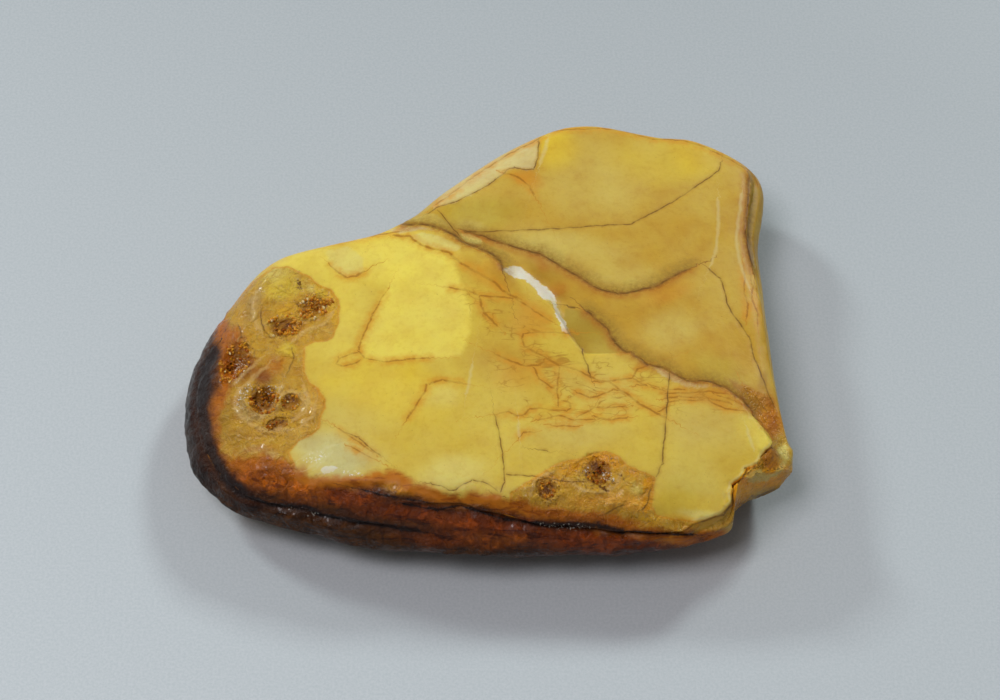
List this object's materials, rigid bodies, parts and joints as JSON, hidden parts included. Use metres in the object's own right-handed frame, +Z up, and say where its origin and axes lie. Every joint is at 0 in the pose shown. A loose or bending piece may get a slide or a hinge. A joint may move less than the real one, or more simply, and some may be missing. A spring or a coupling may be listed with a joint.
{
  "type": "raw carnelian stone",
  "caption": "Palm-sized raw chalcedony slab with a stepped broken face, a rounded brown rind and crystal-lined hollows.",
  "frame": {"origin": "middle of the bounding box in plan, at the height of the flat underside that the stone rests on", "axes": "+X along the longest side, towards the lip at the broken end; +Z up out of the layered face; +Y towards the far side"},
  "size_m": [0.0788, 0.0678, 0.0143],
  "materials": {
    "chalcedony": "waxy translucent honey-yellow chalcedony with rusty veins and a brown rind",
    "druse": "small glassy amber-brown crystal points"
  },
  "bodies": {
    "root": {"stone": "chalcedony", "druse_upper_right_vug": "druse", "druse_upper_left_vug": "druse", "druse_rim_vug": "druse", "druse_middle_vug": "druse", "druse_round_vug": "druse", "druse_lower_vug": "druse", "druse_front_vug": "druse", "druse_small_front_vug": "druse"}
  },
  "joints": []
}
